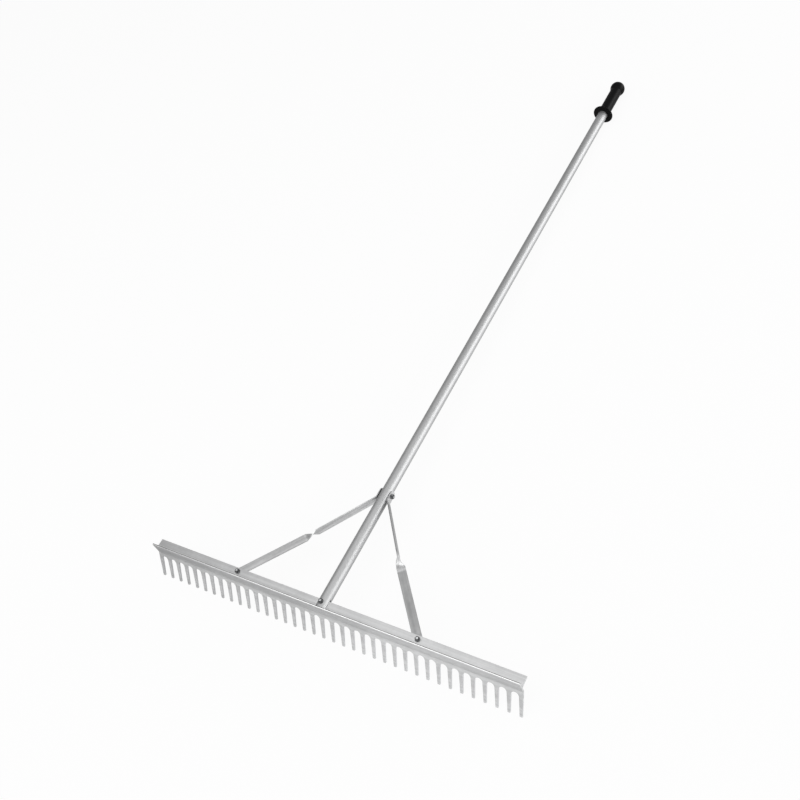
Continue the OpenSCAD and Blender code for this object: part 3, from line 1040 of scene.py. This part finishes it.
def cut_thread(bolt, start, end):
    """Cut a helical vee between two heights of a bolt."""
    flank = 1 * mm
    rise = flank * math.tan(math.radians(30))
    outside = thread_root + flank
    die = trace("die", [(thread_root, 0, start), (outside, 0, start + rise), (outside, 0, start - rise)])
    bpy.ops.mesh.edge_face_add()
    bpy.ops.mesh.delete(type="ONLY_FACE")
    turns = math.ceil((end - start) / thread_pitch)
    finish_with(
        die, "SCREW", axis="Z", screw_offset=thread_pitch, iterations=turns, steps=32, render_steps=32
    )
    pick_up(die)
    bpy.ops.object.mode_set(mode="EDIT")
    bpy.ops.mesh.select_all(action="SELECT")
    bpy.ops.mesh.fill_holes(sides=3)
    face_out(die)
    die.data.materials.append(zinc_metal)
    cut(bolt, die)


def make_bolt(name, clamped):
    """A bolt with its head below zero, long enough for what it clamps and for its nut."""
    length = clamped + nut_total + bolt_stand_out
    bolt = hexagon(name, -head_height, 0, zinc_metal)
    shank = [
        (0, -head_height / 2), (bolt_radius, -head_height / 2), (bolt_radius, length - bolt_chamfer),
        (bolt_radius - bolt_chamfer, length), (0, length)
    ]
    turned = turned_from("shank", [(r, 0, z) for r, z in shank], (0, 0, 1), turned_steps)
    turned.data.materials.append(zinc_metal)
    cut(bolt, turned, "UNION")
    face_out(bolt)
    soften(bolt, width=fastener_edge)
    cut_thread(bolt, length - nut_total - 2 * bolt_stand_out, length + thread_pitch)
    face_out(bolt)
    return bolt


tab_face = tab_middle + brace_thickness / 2
tube_clamp = 2 * tube_radius
brace_clamp = brace_thickness + flange_thickness
tab_clamp = 2 * tab_face
foot_bolt = make_bolt("bolt_foot", tube_clamp)
left_bolt = make_bolt("bolt_left", brace_clamp)
right_bolt = copy_of(left_bolt, "bolt_right")
cross_bolt = make_bolt("bolt_cross", tab_clamp)
print("hexagons are", round(2 * hex_half / mm, 2), "mm across the flats")

# %% [markdown]
# ## Lock nuts and inserts
# All four nuts are alike, so one nut and one ring are made and copied later. The nut's round crown is turned,
# with its lip already rolled in over the nylon ring that grips the thread, and joined to the hexagon.

# %% Make one nut and one insert
thread_bore = bolt_radius + 0.05 * mm
crown_radius = hex_half - 0.65 * mm
crown_lip = 0.35 * mm
crown_roll = 0.6 * mm
insert_radius = crown_radius - 0.7 * mm
insert_height = 1.3 * mm
insert_floor = nut_total - insert_height
insert_top = nut_total - crown_lip
insert_outside = insert_radius - 0.05 * mm
nut = hexagon("nut", 0, nut_height, nut_metal)
crown = [
    (0, nut_height / 2), (crown_radius, nut_height / 2),
    *round_stretch((crown_radius - crown_roll, nut_total - crown_roll), crown_roll, 0, 90, 6),
    (insert_radius - crown_lip, nut_total), (insert_radius - crown_lip, insert_top),
    (insert_radius, insert_top), (insert_radius, insert_floor),
    (0, insert_floor),
]
turned_crown = turned_from("crown", [(r, 0, z) for r, z in crown], (0, 0, 1), turned_steps)
turned_crown.data.materials.append(nut_metal)
cut(nut, turned_crown, "UNION")
drill(nut, thread_bore, (0, 0, -past), (0, 0, nut_total + past), nut_metal)
face_out(nut)
soften(nut, width=fastener_edge)
ring = [
    (thread_bore, insert_floor), (insert_outside, insert_floor), (insert_outside, insert_top),
    (thread_bore + crown_lip, insert_top), (thread_bore, insert_top - crown_lip), (thread_bore, insert_floor)
]
insert = turned_from("insert", [(r, 0, z) for r, z in ring], (0, 0, 1), turned_steps)
insert.data.materials.append(nylon)
soften(insert, width=0.08 * mm)
print("nut faces", len(nut.data.polygons), "insert faces", len(insert.data.polygons))

# %% [markdown]
# ## Placing the fasteners
# Three bolts stand upright in the flange, and the cross bolt lies across the tube. Each nut and its insert
# sit at the far end of what their bolt clamps. The nut and the ring that were copied are put away at the end.

# %% Place the fasteners
upright = (0, 0, 0)
across = (0, math.pi / 2, 0)
seats = (
    ("foot", foot_bolt, upright, (0, bolt_line, -tube_radius), (0, 0, tube_clamp)),
    ("left", left_bolt, upright, (-brace_spread, bolt_line, -brace_thickness), (0, 0, brace_clamp)),
    ("right", right_bolt, upright, (brace_spread, bolt_line, -brace_thickness), (0, 0, brace_clamp)),
    ("cross", cross_bolt, across, (-tab_face, brace_reach, brace_level), (tab_clamp, 0, 0)),
)
for joint, bolt, turn, head_place, clamped in seats:
    nut_place = Vector(head_place) + Vector(clamped)
    set_of_three = (
        (bolt, head_place, "zinc_steel", joint + "_bolt"),
        (copy_of(nut, "nut_" + joint), nut_place, "zinc_steel", joint + "_nut"),
        (copy_of(insert, "insert_" + joint), nut_place, "nylon", joint + "_insert"),
    )
    for piece, spot, slot, node in set_of_three:
        pick_up(piece)
        piece.rotation_euler = turn
        piece.location = spot
        bpy.ops.object.transform_apply()
        lay_down(piece)
        hand_over(piece, slot, node)
for pattern in (nut, insert):
    bpy.data.objects.remove(pattern)
